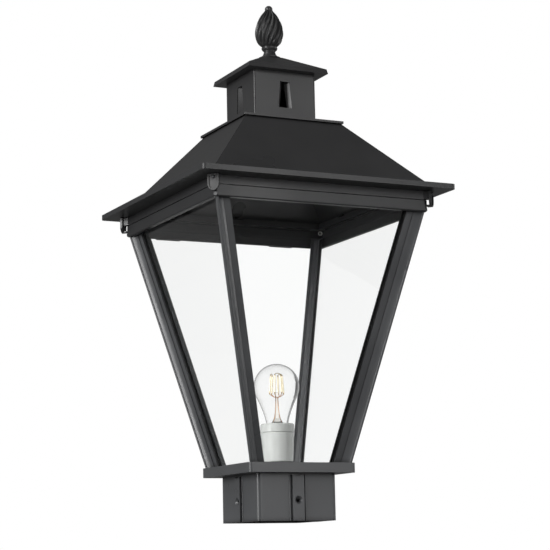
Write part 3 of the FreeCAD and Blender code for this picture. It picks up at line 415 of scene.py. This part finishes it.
def soften_edges(names, width, segments):
    """Rounds the sharp edges of CAD nodes a little, so that they catch the light."""
    for name in names:
        edge = nodes[name].modifiers.new("soft_edges", "BEVEL")
        edge.width = width
        edge.segments = segments
        edge.limit_method = "ANGLE"
        edge.angle_limit = SHARPEST_KEPT


# ---------------------------------------------------------------- the lamp's inside
def lamp_axis():
    low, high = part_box("lamp_glass")
    return (Vector(low) + Vector(high)) / 2


def new_piece(name, mesh_maker, material, body):
    """A piece from a bmesh, in the shared frame, that rides on a body."""
    mesh = bpy.data.meshes.new(name)
    form = bmesh.new()
    mesh_maker(form)
    bmesh.ops.recalc_face_normals(form, faces=form.faces)
    for face in form.faces:
        face.smooth = True
    form.to_mesh(mesh)
    form.free()
    piece = bpy.data.objects.new(name, mesh)
    bpy.context.collection.objects.link(piece)
    mesh.materials.append(material)
    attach(piece, body)
    return piece


def add_tube(form, points, radii, sides):
    """Closed tube through points, with a radius at each."""
    rings = []
    side_way = None
    for step, point in enumerate(points):
        ahead = points[min(step + 1, len(points) - 1)] - points[max(step - 1, 0)]
        ahead.normalize()
        if side_way is None:
            side_way = ahead.orthogonal().normalized()
        side_way = (side_way - ahead * side_way.dot(ahead)).normalized()
        across = ahead.cross(side_way)
        ring = []
        for number in range(sides):
            angle = math.tau * number / sides
            spot = point + (side_way * math.cos(angle) + across * math.sin(angle)) * radii[step]
            ring.append(form.verts.new(spot))
        rings.append(ring)
    for low, high in zip(rings, rings[1:]):
        for number in range(sides):
            following = (number + 1) % sides
            form.faces.new((low[number], low[following], high[following], high[number]))
    form.faces.new(rings[0])
    form.faces.new(rings[-1])


def add_wire(form, points):
    add_tube(form, points, [WIRE_R] * len(points), WIRE_SIDES)


def filament_ends():
    """Foot and top of every filament rod, on a ring round the stem."""
    low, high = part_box("lamp_filaments")
    axis = lamp_axis()
    ends = []
    for step in range(FILAMENTS):
        angle = FILAMENT_PHASE + math.tau * step / FILAMENTS
        way = Vector((math.cos(angle), math.sin(angle), 0.0))
        foot = Vector((axis.x, axis.y, low[2] + FILAMENT_INSET)) + way * FILAMENT_FOOT_R
        top = Vector((axis.x, axis.y, high[2] - FILAMENT_INSET)) + way * FILAMENT_TOP_R
        ends.append((foot, top))
    return ends


def rod_points(foot, top, shares):
    return [foot.lerp(top, share) for share in shares]


def filament_rods(form):
    """Coated rods with slightly fuller middles."""
    shares = [share for share, fullness in ROD_FORM]
    radii = [FILAMENT_R * fullness for share, fullness in ROD_FORM]
    for foot, top in filament_ends():
        add_tube(form, rod_points(foot, top, shares), radii, ROD_SIDES)


def filament_tips(form):
    """Bright metal ends of the rods and the hoops that join their tops in pairs."""
    ends = filament_ends()
    for foot, top in ends:
        add_tube(form, rod_points(foot, top, TIP_LOW), [WIRE_R, TIP_R, TIP_R], TIP_SIDES)
        add_tube(form, rod_points(foot, top, TIP_HIGH), [TIP_R, TIP_R, WIRE_R], TIP_SIDES)
    for first in range(0, FILAMENTS, 2):
        start = ends[first][1]
        end = ends[(first + 1) % FILAMENTS][1]
        add_wire(form, [start.lerp(end, share) + Vector((0, 0, WIRE_ARCH * math.sin(math.pi * share)))
                        for share in WIRE_ARCH_SHARES])


def support_wires(form):
    """Copper wires from the stem's head out to the rods' feet, and down through the stem."""
    axis = lamp_axis()
    ends = filament_ends()
    head_z = ends[0][0].z - WIRE_DROP
    for foot, top in ends:
        way = Vector((foot.x - axis.x, foot.y - axis.y, 0.0)).normalized()
        root = Vector((axis.x, axis.y, head_z)) + way * WIRE_ROOT_R
        sagging = root.lerp(foot, WIRE_LOW_SHARE) - Vector((0, 0, WIRE_SAG))
        add_wire(form, [root, sagging, root.lerp(foot, WIRE_HIGH_SHARE), foot])
    stem_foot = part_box("lamp_stem")[0][2]
    for side in (-1, 1):
        path = [Vector((axis.x + side * out, axis.y, stem_foot + up)) for out, up in STEM_WIRE]
        path.append(Vector((axis.x + side * STEM_WIRE_TOP_OUT, axis.y, head_z)))
        add_wire(form, path)


def build_lamp_inside():
    rods = new_piece("filament_rods", filament_rods, filament_coat, "lamp")
    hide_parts("lamp_filaments")
    new_piece("filament_tips", filament_tips, brass, "lamp")
    new_piece("lamp_support_wires", support_wires, wire_copper, "lamp")


# ---------------------------------------------------------------- stage, lights and camera
def make_floor():
    mesh = bpy.data.meshes.new("floor")
    corners = [(across * FLOOR_HALF, along * FLOOR_HALF, -FLOOR_SUNK)
               for across, along in ((-1, -1), (1, -1), (1, 1), (-1, 1))]
    mesh.from_pydata(corners, [], [(0, 1, 2, 3)])
    floor = bpy.data.objects.new("floor", mesh)
    bpy.context.collection.objects.link(floor)
    mesh.materials.append(floor_paint())


def make_lights():
    """Softboxes round the lantern. The eye doesn't see them, but the gloss does."""
    for name, place, width, height, watts in SOFTBOXES:
        light = bpy.data.lights.new(name, "AREA")
        light.shape = "RECTANGLE"
        light.size = width
        light.size_y = height
        light.energy = watts
        lamp = bpy.data.objects.new(name, light)
        bpy.context.collection.objects.link(lamp)
        lamp.location = place
        lamp.visible_camera = False
        lamp.visible_transmission = False
        way = Vector(LIT_MIDDLE) - lamp.location
        lamp.rotation_euler = way.to_track_quat("-Z", "Y").to_euler()


def background(tree, brightness=None):
    """White, or the brightness that a socket gives."""
    node = tree.nodes.new("ShaderNodeBackground")
    node.inputs["Color"].default_value = (1.0, 1.0, 1.0, 1.0)
    if brightness:
        tree.links.new(brightness, node.inputs["Color"])
    return node.outputs["Background"]


def make_world():
    """White studio behind the lantern. What mirrors it sees a dark front and a dim ceiling."""
    world = bpy.data.worlds.new("studio")
    bpy.context.scene.world = world
    world.use_nodes = True
    tree = world.node_tree
    tree.nodes.clear()
    path = tree.nodes.new("ShaderNodeLightPath")
    place = tree.nodes.new("ShaderNodeTexCoord")
    split = tree.nodes.new("ShaderNodeSeparateXYZ")
    tree.links.new(place.outputs["Generated"], split.inputs["Vector"])
    height = split.outputs["Z"]
    ahead = remap(tree, split.outputs["Y"], STUDIO_FRONT_Y, STUDIO_BACK_Y, STUDIO_FRONT, STUDIO_BACK)
    overhead = remap(tree, height, 0.0, STUDIO_CEILING_Z, 1.0, STUDIO_CEILING)
    mirrored = background(tree, combine(tree, "MULTIPLY", ahead, overhead))
    soft = background(tree, remap(tree, height, -STUDIO_FILL_Z, STUDIO_FILL_Z, STUDIO_FLOOR, STUDIO_FILL))
    lit = pick(tree, path.outputs["Is Glossy Ray"], soft, mirrored)
    out = tree.nodes.new("ShaderNodeOutputWorld")
    tree.links.new(pick(tree, looked_at(tree), lit, background(tree)), out.inputs["Surface"])


def make_camera():
    """The photograph's own camera, a little below the lantern and looking up."""
    aside = Vector((math.cos(VIEW_AZIMUTH), math.sin(VIEW_AZIMUTH), 0.0))
    away = -Vector((math.sin(VIEW_AZIMUTH) * math.cos(VIEW_ELEVATION),
                    -math.cos(VIEW_AZIMUTH) * math.cos(VIEW_ELEVATION), math.sin(VIEW_ELEVATION)))
    upright = aside.cross(away)
    right = aside * math.cos(VIEW_ROLL) + upright * math.sin(VIEW_ROLL)
    up = upright * math.cos(VIEW_ROLL) - aside * math.sin(VIEW_ROLL)
    target = aside * VIEW_SIDEWAYS + Vector((0.0, 0.0, VIEW_HEIGHT))
    data = bpy.data.cameras.new("camera")
    data.sensor_width = SENSOR
    data.sensor_fit = "HORIZONTAL"
    data.lens = FOCAL * SENSOR / PHOTO_SIDE
    camera = bpy.data.objects.new("camera", data)
    bpy.context.collection.objects.link(camera)
    turn = Matrix((right, up, -away)).transposed()
    camera.matrix_world = Matrix.Translation(target - away * VIEW_DISTANCE) @ turn.to_4x4()
    bpy.context.scene.camera = camera


# ---------------------------------------------------------------- build
make_camera()
make_world()
make_lights()
make_floor()
bpy.context.scene.view_settings.view_transform = "Standard"

dress_nodes()
for names, width, segments in SOFT_EDGES:
    soften_edges(names, width, segments)
build_lamp_inside()
